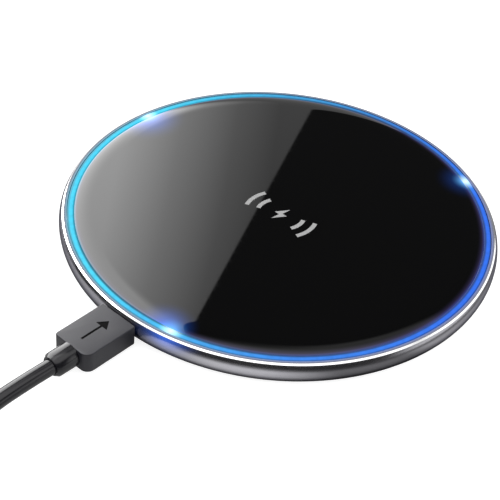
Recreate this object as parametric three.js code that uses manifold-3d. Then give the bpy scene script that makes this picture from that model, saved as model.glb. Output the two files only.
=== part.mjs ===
// A round wireless charging pad with its micro-USB cable plugged in, in millimetres, +Z up.
// The origin is the bottom centre of the pad, on the surface that its feet stand on.
// The socket faces -Y, and the cable leaves along -Y and lies coiled beside the pad.

import * as THREE from 'three';
import { mergeVertices } from 'three/addons/utils/BufferGeometryUtils.js';
import Module from 'manifold-3d';

const wasm = await Module();
wasm.setup();

// ---------- Driving dimensions ----------

const PAD_RADIUS = 49.95;
const RIM_HEIGHT = 7.0;
const UNDERSIDE = 0.45;
const RING_SEGMENTS = 72;
const HIDDEN_SEGMENTS = 48;
const FOOT_SEGMENTS = 20;
const SMALL_SEGMENTS = 14;
const CLEARANCE = 0.3;

// Frame: the metal band round the pad. Its bulge is two arcs that meet at the widest level.
const LIP_RADIUS = 48.85;
const CHAMFER_FOOT = 6.6;
const BULGE_LEVEL = 4.7;
const BULGE_ABOVE = 3.2;
const BULGE_BELOW = 4.2;
const BULGE_HEIGHTS = [0.8, 1.0, 1.4, 2.0, 2.8, 3.7, BULGE_LEVEL, 5.4, 6.05, CHAMFER_FOOT];
const REBATE_RADIUS = 48.2;
const SHOULDER_HEIGHT = 5.5;
const WALL_INNER_RADIUS = 47.75;
const LEDGE_RADIUS = 46.1;
const LEDGE_BOTTOM = 1.05;
const LEDGE_TOP = 1.55;
const SKIRT_RADIUS = 46.7;

// Glass, light guide and the tray under them.
const GLASS_RADIUS = 46.5;
const GLASS_BOTTOM = 6.25;
const GLASS_TOP = 7.35;
const GLASS_EDGE_RUN = 3.8;
const GUIDE_INNER_RADIUS = 46.8;
const GUIDE_OUTER_RADIUS = 48.1;
const TRAY_RADIUS = 46.0;
const TRAY_TOP = 6.1;
const TRAY_RIM_BOTTOM = 5.2;
const POCKET_RADIUS = 27.5;
const POCKET_WALL = 1.2;
const POCKET_FLOOR = 3.75;
const POCKET_UNDERSIDE = 2.95;

// Circuit board.
const BOARD_BOTTOM = 2.15;
const BOARD_TOP = 2.95;
const BOARD_INNER_RADIUS = 29.2;
const BOARD_OUTER_RADIUS = 47.4;
const LED_ANGLES = [62, 173, 284];
const LED_RADIUS = 47.0;
const LED_HEIGHT = 0.6;

// Base cover, feet and screws.
const COVER_RADIUS = 46.4;
const COVER_STEP = 0.95;
const COVER_TOP = 1.45;
const BOSS_TOP = 2.05;
const FOOT_RADIUS = 5.0;
const FOOT_FACE_RADIUS = 4.65;
const FOOT_TOP = 0.85;
const SCREW_CIRCLE = 38;
const SCREW_ANGLES = [45, 135, 225, 315];
const SCREW_HEAD_BOTTOM = 0.95;
const SCREW_HEAD_TOP = 1.5;
const SCREW_HEAD_RADIUS = 1.65;
const SCREW_RADIUS = 0.9;
const SCREW_TIP = 4.75;
const SCREW_HOLE = 1.2;

// Transmitting coil.
const WIRE_RADIUS = 0.5;
const WIRE_HEIGHT = 5.45;
const WIRE_PITCH = 1.5;
const WIRE_TURNS = 6.5;
const WINDING_RADIUS = 21.4;
const WIRE_UNDER = 4.32;
const FERRITE_BOTTOM = 3.8;
const FERRITE_TOP = 4.8;

// Socket and plug, both on one axis along Y at this height.
const PORT_HEIGHT = 4.2;
const SOCKET_MOUTH = -49.2;
const SOCKET_BACK = -43.4;
const SOCKET = { width: 7.5, height: 2.45, corner: 0.7, wall: 0.2 };
const PORT_HOLE = { width: 8.3, height: 3.2, corner: 1.0 };
const PLUG_TIP = -44.8;
const PLUG_ROOT = -52.3;
const PLUG = { width: 6.85, height: 1.8, corner: 0.5, wall: 0.25 };
const PLUG_POCKET = { width: 7.45, height: 2.4, corner: 0.8 };
const OVERMOULD_FRONT = -50.25;
const OVERMOULD_BACK = -63.3;
const OVERMOULD = {
  width: 9.5, length: OVERMOULD_FRONT - OVERMOULD_BACK, height: 4.7, corner: 1.6, bevel: 0.35,
};
const RELIEF_END = -68.6;
const FACE_GAP = 0.05;

// Cord: one metre of cable from plug tip to plug tip, and what is free of it.
const CORD_RADIUS = 1.75;
const CORD_SIDES = 8;
const CORD_LENGTH = 936;
const COIL_TURNS = 7.5;
const TURN_PITCH = 3.55;
const COIL_Y = -100;
const COIL_HEIGHT = 7.3;
const COIL_MARGIN = 2.0;
const RUN_LENGTH = Math.abs(COIL_Y - RELIEF_END);
const TAIL_LENGTH = 16;
const COIL_MEAN_RADIUS = (CORD_LENGTH - RUN_LENGTH - TAIL_LENGTH) / (2 * Math.PI * COIL_TURNS);
const OUTER_TURN = COIL_MEAN_RADIUS + (COIL_TURNS * TURN_PITCH) / 4;
const INNER_TURN = COIL_MEAN_RADIUS - (COIL_TURNS * TURN_PITCH) / 4;
const COIL_X = -OUTER_TURN;
const TIE_WIDTH = 6;
const TIE_THICKNESS = 0.8;

// The far plug lies flat beside the coil, pointing along +Y.
const FAR_X = COIL_X - OUTER_TURN;
const FAR_Y = COIL_Y + TAIL_LENGTH;
const FAR_HEIGHT = 3.8;
const FAR_RELIEF_LENGTH = 8;
const FAR_BODY = { width: 15.6, length: 18, height: 7.6, corner: 2.4, bevel: 0.6 };
const FAR_SHELL = { width: 12.0, height: 4.5, corner: 0.6, wall: 0.3 };
const FAR_SHELL_LENGTH = 12.0;
const FAR_SHELL_ROOT = 3.0;
const FAR_POCKET = { width: 12.6, height: 5.1, corner: 0.6 };

// ---------- Materials ----------

function material(color, roughness, metalness = 0) {
  return new THREE.MeshStandardMaterial({ color, roughness, metalness });
}

const looks = {
  glass: material(0x0b0b0d, 0.06),
  lightGuide: material(0x4fb8ff, 0.35),
  whitePlastic: material(0xe8e9ea, 0.6),
  frame: material(0x6f6f77, 0.35, 0.9),
  blackPlastic: material(0x1c1c1f, 0.6),
  rubber: material(0x141416, 0.9),
  steel: material(0xb9bbbf, 0.3, 1),
  board: material(0x14452b, 0.5),
  ferrite: material(0x3a3a3d, 0.8),
  copper: material(0xb5652b, 0.35, 0.9),
  film: material(0xb07a1e, 0.4),
  chip: material(0x17171a, 0.5),
  ceramic: material(0xa98b63, 0.6),
  led: material(0xf4f1dc, 0.4),
  adhesive: material(0x2a2a2c, 0.9),
  jacket: material(0x2b2a2e, 0.55),
  tie: material(0x232327, 0.8),
};

// ---------- Solids ----------

// A closed solid for booleans, from a closed geometry.
function solid(geometry) {
  const bare = geometry.clone();
  bare.deleteAttribute('normal');
  bare.deleteAttribute('uv');
  const merged = mergeVertices(bare);
  const index = merged.index.array;
  const kept = [];
  for (let i = 0; i < index.length; i += 3) {
    const [a, b, c] = [index[i], index[i + 1], index[i + 2]];
    if (a !== b && b !== c && c !== a) kept.push(a, b, c);
  }
  return new wasm.Manifold(new wasm.Mesh({
    numProp: 3,
    vertProperties: merged.attributes.position.array,
    triVerts: Uint32Array.from(kept),
  }));
}

function geometryOf(made) {
  const mesh = made.getMesh();
  const geometry = new THREE.BufferGeometry();
  geometry.setAttribute('position', new THREE.BufferAttribute(mesh.vertProperties, 3));
  geometry.setIndex(new THREE.BufferAttribute(mesh.triVerts, 1));
  geometry.computeVertexNormals();
  return geometry;
}

function joined(first, others) {
  return others.reduce((sum, other) => sum.add(other), first);
}

function cut(first, others) {
  return others.reduce((rest, other) => rest.subtract(other), first);
}

// A solid of revolution about Z. The profile is [radius, height] pairs, outside going up.
function turned(profile, segments = RING_SEGMENTS) {
  const points = profile.map(([radius, height]) => new THREE.Vector2(radius, height));
  return solid(new THREE.LatheGeometry(points, segments).rotateX(Math.PI / 2));
}

// A flat ring about Z.
function ring(inner, outer, bottom, top, segments = RING_SEGMENTS) {
  const profile = [[inner, bottom], [outer, bottom], [outer, top], [inner, top], [inner, bottom]];
  return turned(profile, segments);
}

function disc(radius, bottom, top, segments = SMALL_SEGMENTS) {
  return turned([[0, bottom], [radius, bottom], [radius, top], [0, top]], segments);
}

// A box from its lowest to its highest corner.
function block(low, high) {
  const size = high.map((value, i) => value - low[i]);
  const centre = high.map((value, i) => (value + low[i]) / 2);
  return solid(new THREE.BoxGeometry(...size).translate(...centre));
}

function roundedRectangle({ width, height, corner }) {
  const [x, y] = [width / 2, height / 2];
  const shape = new THREE.Shape();
  shape.moveTo(x - corner, -y);
  shape.absarc(x - corner, corner - y, corner, -Math.PI / 2, 0);
  shape.absarc(x - corner, y - corner, corner, 0, Math.PI / 2);
  shape.absarc(corner - x, y - corner, corner, Math.PI / 2, Math.PI);
  shape.absarc(corner - x, corner - y, corner, Math.PI, 1.5 * Math.PI);
  shape.closePath();
  return shape;
}

// A shape of the XZ plane run along Y between two stations, at a height.
function alongY(shape, from, to, height) {
  const length = Math.abs(to - from);
  const made = new THREE.ExtrudeGeometry(shape, { depth: length, bevelEnabled: false, curveSegments: 3 });
  return solid(made.rotateX(Math.PI / 2).translate(0, Math.max(from, to), height));
}

// A rectangular tube with round corners along Y.
function sleeve({ width, height, corner, wall }, from, to, level) {
  const shape = roundedRectangle({ width, height, corner });
  const hole = { width: width - 2 * wall, height: height - 2 * wall, corner: corner - wall };
  shape.holes.push(roundedRectangle(hole));
  return alongY(shape, from, to, level);
}

// A moulded plug body: a plan outline with round corners and a bevelled edge, centred on x = 0.
function plugBody({ width, length, height, corner, bevel }, from, level) {
  const shape = roundedRectangle({ width, height: length, corner });
  const made = new THREE.ExtrudeGeometry(shape, {
    depth: height - 2 * bevel,
    bevelThickness: bevel,
    bevelSize: bevel,
    bevelOffset: -bevel,
    bevelSegments: 1,
    curveSegments: 4,
  });
  return solid(made.translate(0, from + length / 2, level - height / 2 + bevel));
}

// A tube of round section along a curve.
function tube(points, radius, sides, steps) {
  const section = new THREE.Shape();
  for (let i = 0; i < sides; i += 1) {
    const angle = (2 * Math.PI * i) / sides;
    const [x, y] = [radius * Math.cos(angle), radius * Math.sin(angle)];
    if (i === 0) section.moveTo(x, y);
    else section.lineTo(x, y);
  }
  section.closePath();
  const path = new THREE.CatmullRomCurve3(points.map((point) => new THREE.Vector3(...point)));
  return solid(new THREE.ExtrudeGeometry(section, { extrudePath: path, steps, bevelEnabled: false }));
}

function onCircle(radius, degrees) {
  const angle = THREE.MathUtils.degToRad(degrees);
  return [radius * Math.cos(angle), radius * Math.sin(angle)];
}

function at(made, x, y, z = 0) {
  return made.translate([x, y, z]);
}

// ---------- Assembly ----------

const pad = new THREE.Group();
const cable = new THREE.Group();

function add(group, name, made, look) {
  const mesh = new THREE.Mesh(geometryOf(made), look);
  mesh.name = name;
  group.add(mesh);
}

// The round-cornered hole in the frame that the socket reaches into.
function portHole() {
  return alongY(roundedRectangle(PORT_HOLE), -52, -46, PORT_HEIGHT);
}

// Room round the socket, cut out of the tray and the reflector.
function socketRoom(top) {
  return block([-4.4, -52, 2.5], [4.4, SOCKET_BACK + CLEARANCE, top]);
}

// The frame's outer radius at a height.
function bulge(height) {
  const arc = height > BULGE_LEVEL ? BULGE_ABOVE : BULGE_BELOW;
  return PAD_RADIUS - arc + Math.sqrt(arc ** 2 - (height - BULGE_LEVEL) ** 2);
}

// The band bulges, turns under at the foot, and has a polished chamfer at the rim. A ledge inside
// its foot takes the base cover, and a rebate inside its rim takes the light guide.
function sideFrame() {
  const outside = BULGE_HEIGHTS.map((height) => [bulge(height), height]);
  const inside = [
    [LIP_RADIUS, RIM_HEIGHT], [REBATE_RADIUS, RIM_HEIGHT], [REBATE_RADIUS, SHOULDER_HEIGHT],
    [WALL_INNER_RADIUS, SHOULDER_HEIGHT], [WALL_INNER_RADIUS, LEDGE_TOP], [LEDGE_RADIUS, LEDGE_TOP],
    [LEDGE_RADIUS, LEDGE_BOTTOM], [SKIRT_RADIUS, LEDGE_BOTTOM], [SKIRT_RADIUS, BULGE_HEIGHTS[0]],
  ];
  return turned([...outside, ...inside, outside[0]]).subtract(portHole());
}

// Flat glass whose top edge curves down to the light ring.
function glassTop() {
  const drop = GLASS_TOP - RIM_HEIGHT + 0.05;
  const edge = [];
  for (let i = 0; i <= 4; i += 1) {
    const share = i / 4;
    edge.push([GLASS_RADIUS - GLASS_EDGE_RUN * share, GLASS_TOP - drop * (1 - share) ** 2]);
  }
  return turned([[0, GLASS_BOTTOM], [GLASS_RADIUS, GLASS_BOTTOM], ...edge, [0, GLASS_TOP]]);
}

// A light guide ring with a leg down to each LED.
function lightGuide() {
  const legs = LED_ANGLES.map((degrees) => (
    block([46.95, -2, BOARD_TOP + LED_HEIGHT + 0.2], [47.6, 2, 5.7]).rotate([0, 0, degrees])
  ));
  return joined(ring(GUIDE_INNER_RADIUS, GUIDE_OUTER_RADIUS, 5.6, RIM_HEIGHT), legs);
}

// The same disc at each of the four screws.
function atScrews(radius, bottom, top, segments = SMALL_SEGMENTS) {
  return SCREW_ANGLES.map((degrees) => (
    at(disc(radius, bottom, top, segments), ...onCircle(SCREW_CIRCLE, degrees))
  ));
}

// The tray holds the glass at its rim and the coil in its pocket, and takes the screws.
function coilTray() {
  const body = turned([
    [0, POCKET_UNDERSIDE], [POCKET_RADIUS + POCKET_WALL, POCKET_UNDERSIDE],
    [POCKET_RADIUS + POCKET_WALL, TRAY_RIM_BOTTOM], [TRAY_RADIUS, TRAY_RIM_BOTTOM],
    [TRAY_RADIUS, TRAY_TOP], [POCKET_RADIUS, TRAY_TOP], [POCKET_RADIUS, POCKET_FLOOR],
    [0, POCKET_FLOOR],
  ], HIDDEN_SEGMENTS);
  const leadSlots = [
    block([15.5, 20.2, POCKET_FLOOR], [22.5, 22.6, 6.5]),
    block([23.5, -12.9, POCKET_FLOOR], [28.6, -10.4, 6.5]),
    block([-29.5, -1.2, POCKET_FLOOR], [-26.5, 1.2, 6.5]),
  ];
  const solidTray = joined(body, atScrews(2.3, BOSS_TOP + 0.2, SHOULDER_HEIGHT));
  return cut(solidTray, [...atScrews(SCREW_HOLE, BOSS_TOP, 5.0), ...leadSlots, socketRoom(6.5)]);
}

// The bottom cover has a recess for each foot, and a boss with a counterbore for each screw.
function baseCover() {
  const step = LEDGE_RADIUS - CLEARANCE;
  const plate = turned([
    [0, UNDERSIDE], [COVER_RADIUS, UNDERSIDE], [COVER_RADIUS, COVER_STEP], [step, COVER_STEP],
    [step, COVER_TOP], [0, COVER_TOP],
  ], HIDDEN_SEGMENTS);
  const solidCover = joined(plate, atScrews(3.1, COVER_STEP, BOSS_TOP));
  return cut(solidCover, [
    ...atScrews(FOOT_RADIUS + CLEARANCE, 0, FOOT_TOP + FACE_GAP, FOOT_SEGMENTS),
    ...atScrews(SCREW_HEAD_RADIUS + CLEARANCE, UNDERSIDE, SCREW_HEAD_TOP + 0.1),
    ...atScrews(SCREW_HOLE, COVER_STEP, BOSS_TOP + 1),
  ]);
}

function foot() {
  const profile = [
    [0, 0], [FOOT_FACE_RADIUS, 0], [FOOT_RADIUS, FOOT_RADIUS - FOOT_FACE_RADIUS],
    [FOOT_RADIUS, FOOT_TOP], [0, FOOT_TOP],
  ];
  return turned(profile, FOOT_SEGMENTS);
}

// A cross-head screw, head down.
function screw() {
  const body = turned([
    [0, SCREW_HEAD_BOTTOM], [SCREW_HEAD_RADIUS - 0.25, SCREW_HEAD_BOTTOM],
    [SCREW_HEAD_RADIUS, SCREW_HEAD_BOTTOM + 0.2], [SCREW_HEAD_RADIUS, SCREW_HEAD_TOP],
    [SCREW_RADIUS, SCREW_HEAD_TOP], [SCREW_RADIUS, SCREW_TIP - 0.35], [0.3, SCREW_TIP], [0, SCREW_TIP],
  ], SMALL_SEGMENTS);
  const slot = block([-0.9, -0.18, 0.5], [0.9, 0.18, SCREW_HEAD_BOTTOM + 0.3]);
  return cut(body, [slot, slot.rotate([0, 0, 90])]);
}

// The board is a ring round the coil pocket, with a hole for each screw boss.
function mainBoard() {
  const plate = ring(BOARD_INNER_RADIUS, BOARD_OUTER_RADIUS, BOARD_BOTTOM, BOARD_TOP, HIDDEN_SEGMENTS);
  return cut(plate, atScrews(3.4, 1, 4));
}

// A component of a given size standing on the board.
function component(width, length, height) {
  return block([-width / 2, -length / 2, BOARD_TOP], [width / 2, length / 2, BOARD_TOP + height]);
}

// The ferrite plate has a slot for the coil's inner lead and one for the sensor's tail.
function ferriteSheet() {
  const plate = disc(25.8, FERRITE_BOTTOM, FERRITE_TOP, HIDDEN_SEGMENTS);
  const innerTurn = WINDING_RADIUS - WIRE_PITCH * WIRE_TURNS;
  return cut(plate, [
    block([0, -innerTurn - 0.9, 3], [27, -innerTurn + 0.9, 5.5]),
    block([-27, -0.7, 3], [1, 0.7, 5.5]),
  ]);
}

// One wire: up from the board, in along the spiral, then out to the board under the turns.
function transmitCoil() {
  const wire = [
    [28, WINDING_RADIUS, 3.55], [25.5, WINDING_RADIUS, 3.7], [22.5, WINDING_RADIUS, 4.25],
    [19, WINDING_RADIUS, 4.95], [14, WINDING_RADIUS, 5.4], [8, WINDING_RADIUS, WIRE_HEIGHT],
  ];
  const steps = WIRE_TURNS * 24;
  for (let i = 0; i <= steps; i += 1) {
    const turn = (i / steps) * WIRE_TURNS;
    wire.push([...onCircle(WINDING_RADIUS - WIRE_PITCH * turn, 90 + 360 * turn), WIRE_HEIGHT]);
  }
  const last = -(WINDING_RADIUS - WIRE_PITCH * WIRE_TURNS);
  wire.push([2.2, last, 5.1], [4.5, last, WIRE_UNDER], [12, last, WIRE_UNDER], [20, last, WIRE_UNDER]);
  wire.push([25.5, last, WIRE_UNDER], [28.5, last, 3.9], [31, last, 3.6]);
  return tube(wire, WIRE_RADIUS, 6, 118);
}

// A temperature sensor: a bead in the middle of the coil with a tail to the board.
function temperatureSensor() {
  const bead = solid(new THREE.SphereGeometry(1, 10, 6).scale(1.6, 1.2, 0.55).translate(0, 0, 5.4));
  const tail = [
    [0.3, 0, 5.3], [-1.5, 0, 5.0], [-3.5, 0, 4.35], [-12, 0, 4.3], [-26, 0, 4.3],
    [-29, 0, 4.0], [-31.5, 0, 3.45],
  ];
  return bead.add(tube(tail, 0.4, 6, 16));
}

// The socket's insulator: a back wall and the tongue that the plug slides over.
function socketTongue() {
  const wall = block([-3.4, -44.4, PORT_HEIGHT - 0.9], [3.4, -43.5, PORT_HEIGHT + 0.9]);
  return wall.add(block([-1.95, -48.4, PORT_HEIGHT + 0.1], [1.95, -44, PORT_HEIGHT + 0.5]));
}

// The near plug's grip, hollowed for the metal shell.
function plugOvermould() {
  const shape = roundedRectangle(PLUG_POCKET);
  const pocket = alongY(shape, PLUG_ROOT - CLEARANCE, OVERMOULD_FRONT + 1, PORT_HEIGHT);
  return plugBody(OVERMOULD, OVERMOULD_BACK, PORT_HEIGHT).subtract(pocket);
}

// A short round boot about a Y axis, tapering away from the plug.
function strainRelief(length) {
  const profile = [[0, 0], [2.05, 0], [2.6, 0.8], [2.7, length], [0, length]];
  return turned(profile, FOOT_SEGMENTS).rotate([-90, 0, 0]);
}

// The whole coil's outline: a ring, pulled in where the tie goes round it.
function coilOutline(margin) {
  const [inner, outer] = [INNER_TURN - COIL_MARGIN - margin, OUTER_TURN + COIL_MARGIN + margin];
  return ring(inner, outer, 0, COIL_HEIGHT + margin, HIDDEN_SEGMENTS);
}

function tieBlock(width, inset) {
  return block(
    [-width / 2, -OUTER_TURN - COIL_MARGIN + inset, inset],
    [width / 2, -INNER_TURN + COIL_MARGIN - inset, COIL_HEIGHT - inset],
  );
}

function cordCoil() {
  const width = TIE_WIDTH + 2 * CLEARANCE;
  const room = block([-width / 2, -2 * OUTER_TURN, -1], [width / 2, 0, COIL_HEIGHT + 1]);
  const waist = room.subtract(tieBlock(width + 2, TIE_THICKNESS + CLEARANCE));
  return at(coilOutline(0).subtract(waist), COIL_X, COIL_Y);
}

function cordTie() {
  const band = tieBlock(TIE_WIDTH, 0).subtract(tieBlock(TIE_WIDTH + 2, TIE_THICKNESS));
  return at(band, COIL_X, COIL_Y);
}

// What the cord's free ends are cut by where they meet the coil.
function coilRoom() {
  return at(coilOutline(CLEARANCE), COIL_X, COIL_Y, -0.1);
}

// The cord from the near plug to the coil: straight out, then down to the surface.
function cordRun() {
  const route = [
    [0, RELIEF_END - CLEARANCE, 4.2], [-0.05, -72, 4.2], [-0.15, -75, 4.15], [-0.25, -78, 4.02],
    [-0.3, -81, 3.8], [-0.3, -84, 3.45], [-0.25, -87, 3.0], [-0.15, -90, 2.5],
    [-0.05, -93, 2.1], [0, -96, 1.85], [0, COIL_Y, 1.8],
  ];
  return tube(route, CORD_RADIUS, CORD_SIDES, 12).subtract(coilRoom());
}

// The cord from the top of the coil down to the far plug.
function cordTail() {
  const route = [
    [FAR_X, COIL_Y, 5.35], [FAR_X, COIL_Y + 4, 5.2], [FAR_X, COIL_Y + 8, 4.6],
    [FAR_X, COIL_Y + 12, 4.0], [FAR_X, FAR_Y - CLEARANCE, FAR_HEIGHT],
  ];
  return tube(route, CORD_RADIUS, CORD_SIDES, 6).subtract(coilRoom());
}

function addPad() {
  add(pad, 'glass_top', glassTop(), looks.glass);
  add(pad, 'glass_adhesive_ring', ring(34, 45.6, 6.12, 6.22, HIDDEN_SEGMENTS), looks.adhesive);
  add(pad, 'light_guide_ring', lightGuide(), looks.lightGuide);
  const reflector = ring(46.15, 46.65, 3.75, 6.15, HIDDEN_SEGMENTS);
  add(pad, 'light_reflector_ring', reflector.subtract(socketRoom(5.75)), looks.whitePlastic);
  add(pad, 'side_frame', sideFrame(), looks.frame);
  add(pad, 'coil_tray', coilTray(), looks.blackPlastic);
  add(pad, 'base_cover', baseCover(), looks.blackPlastic);
  SCREW_ANGLES.forEach((degrees, i) => {
    const [x, y] = onCircle(SCREW_CIRCLE, degrees);
    add(pad, `rubber_foot_${i + 1}`, at(foot(), x, y), looks.rubber);
    add(pad, `base_screw_${i + 1}`, at(screw(), x, y), looks.steel);
  });
}

function addCoil() {
  add(pad, 'ferrite_sheet', ferriteSheet(), looks.ferrite);
  add(pad, 'transmit_coil', transmitCoil(), looks.copper);
  add(pad, 'coil_insulating_film', disc(24.5, 6.03, 6.11, HIDDEN_SEGMENTS), looks.film);
  add(pad, 'temperature_sensor', temperatureSensor(), looks.chip);
}

// What stands on the board: its name, width, length, height, place and look.
const COMPONENTS = [
  ['control_chip', 5, 5, 0.9, -12, -34.5, looks.chip],
  ['bridge_chip_1', 3, 3, 0.8, 9, -36, looks.chip],
  ['bridge_chip_2', 3, 3, 0.8, 14, -34.5, looks.chip],
  ['input_inductor', 4, 4, 1.8, 7, -41, looks.ferrite],
  ['input_capacitor_1', 2.5, 3.2, 1.6, -6.5, -41, looks.ceramic],
  ['input_capacitor_2', 2.5, 3.2, 1.6, -10.5, -40.5, looks.ceramic],
  ['clock_crystal', 3.2, 1.6, 0.7, -19, -33.5, looks.steel],
];

function addBoard() {
  add(pad, 'main_board', mainBoard(), looks.board);
  add(pad, 'usb_socket_shell', sleeve(SOCKET, SOCKET_MOUTH, SOCKET_BACK, PORT_HEIGHT), looks.steel);
  add(pad, 'usb_socket_tongue', socketTongue(), looks.chip);
  COMPONENTS.forEach(([name, width, length, height, x, y, look]) => {
    add(pad, name, at(component(width, length, height), x, y), look);
  });
  for (let i = 0; i < 4; i += 1) {
    const capacitor = at(component(3.2, 1.6, 1.6), 37, 0).rotate([0, 0, -30 + 6 * i]);
    add(pad, `resonance_capacitor_${i + 1}`, capacitor, looks.ceramic);
  }
  LED_ANGLES.forEach((degrees, i) => {
    const led = at(component(0.7, 1.6, LED_HEIGHT), LED_RADIUS, 0).rotate([0, 0, degrees]);
    add(pad, `status_led_${i + 1}`, led, looks.led);
  });
}

function addNearPlug() {
  add(cable, 'plug_metal_shell', sleeve(PLUG, PLUG_TIP, PLUG_ROOT, PORT_HEIGHT), looks.steel);
  add(cable, 'plug_contact_block', block([-2.7, PLUG_ROOT, 3.65], [2.7, PLUG_TIP - 0.5, 4.0]), looks.chip);
  add(cable, 'plug_overmould', plugOvermould(), looks.jacket);
  const relief = strainRelief(OVERMOULD_BACK - RELIEF_END - FACE_GAP);
  add(cable, 'plug_strain_relief', at(relief, 0, RELIEF_END, PORT_HEIGHT), looks.jacket);
}

function addCord() {
  add(cable, 'cord_run', cordRun(), looks.jacket);
  add(cable, 'cord_coil', cordCoil(), looks.jacket);
  add(cable, 'cord_tail', cordTail(), looks.jacket);
  add(cable, 'cord_tie', cordTie(), looks.tie);
}

function addFarPlug() {
  const relief = strainRelief(FAR_RELIEF_LENGTH);
  const bodyFrom = FAR_Y + FAR_RELIEF_LENGTH + FACE_GAP;
  const bodyTo = bodyFrom + FAR_BODY.length;
  const shellFrom = bodyTo - FAR_SHELL_ROOT;
  const shellTo = bodyTo + FAR_SHELL_LENGTH;
  const pocket = alongY(roundedRectangle(FAR_POCKET), shellFrom - CLEARANCE, bodyTo + 1, FAR_HEIGHT);
  const shell = sleeve(FAR_SHELL, shellFrom, shellTo, FAR_HEIGHT);
  const contacts = block([-5.4, shellFrom, FAR_HEIGHT - 1.9], [5.4, shellTo - 0.4, FAR_HEIGHT - 0.1]);
  add(cable, 'usb_a_strain_relief', at(relief, FAR_X, FAR_Y, FAR_HEIGHT), looks.jacket);
  const grip = plugBody(FAR_BODY, bodyFrom, FAR_HEIGHT).subtract(pocket);
  add(cable, 'usb_a_overmould', at(grip, FAR_X, 0), looks.jacket);
  add(cable, 'usb_a_shell', at(shell, FAR_X, 0), looks.steel);
  add(cable, 'usb_a_contact_block', at(contacts, FAR_X, 0), looks.chip);
}

addPad();
addCoil();
addBoard();
addNearPlug();
addCord();
addFarPlug();

const chargingPad = new THREE.Group();
chargingPad.add(pad, cable);

export default chargingPad;
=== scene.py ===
"""A round wireless charging pad with its cable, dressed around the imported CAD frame. Metres, +Z up."""

import math

import bmesh
import bpy
from mathutils import Matrix, Vector


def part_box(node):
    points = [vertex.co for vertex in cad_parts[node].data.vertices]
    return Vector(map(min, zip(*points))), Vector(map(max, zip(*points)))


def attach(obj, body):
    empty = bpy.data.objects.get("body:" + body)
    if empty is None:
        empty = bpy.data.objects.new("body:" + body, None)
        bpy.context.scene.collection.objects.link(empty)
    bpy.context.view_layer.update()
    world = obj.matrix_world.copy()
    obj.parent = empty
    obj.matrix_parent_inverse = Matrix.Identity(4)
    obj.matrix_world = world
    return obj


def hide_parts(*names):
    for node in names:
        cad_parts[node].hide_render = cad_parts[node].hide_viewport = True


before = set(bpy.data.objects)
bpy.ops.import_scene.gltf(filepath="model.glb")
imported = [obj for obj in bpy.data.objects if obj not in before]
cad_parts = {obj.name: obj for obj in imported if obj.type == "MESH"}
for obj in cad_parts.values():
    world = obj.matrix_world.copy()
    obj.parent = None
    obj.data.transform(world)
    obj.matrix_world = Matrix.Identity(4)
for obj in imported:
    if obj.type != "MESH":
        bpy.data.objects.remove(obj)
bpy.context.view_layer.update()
MM = 0.001

# ---------- Camera ----------

# The camera looks down at the pad from the cable's side, a little to +X, rolled a few degrees.
AIM = Vector((0.0046, -0.0152, 0.0070))
AZIMUTH = math.radians(39.0)
ELEVATION = math.radians(39.9)
ROLL = math.radians(5.56)
DISTANCE = 0.2952
LENS = 96.95


def camera_axes():
    """The camera's right, up and back directions."""
    back = Vector((
        math.sin(AZIMUTH) * math.cos(ELEVATION),
        -math.cos(AZIMUTH) * math.cos(ELEVATION),
        math.sin(ELEVATION),
    ))
    level = Vector((math.cos(AZIMUTH), math.sin(AZIMUTH), 0))
    upright = back.cross(level)
    right = level * math.cos(ROLL) + upright * math.sin(ROLL)
    up = upright * math.cos(ROLL) - level * math.sin(ROLL)
    return right, up, back


def make_camera():
    right, up, back = camera_axes()
    data = bpy.data.cameras.new("camera")
    data.sensor_width = 36
    data.lens = LENS
    data.clip_start = 0.01
    camera = bpy.data.objects.new("camera", data)
    bpy.context.scene.collection.objects.link(camera)
    turn = Matrix((right, up, back)).transposed().to_4x4()
    camera.matrix_world = Matrix.Translation(AIM + back * DISTANCE) @ turn
    bpy.context.scene.camera = camera


make_camera()

# ---------- Node graphs ----------


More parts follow.
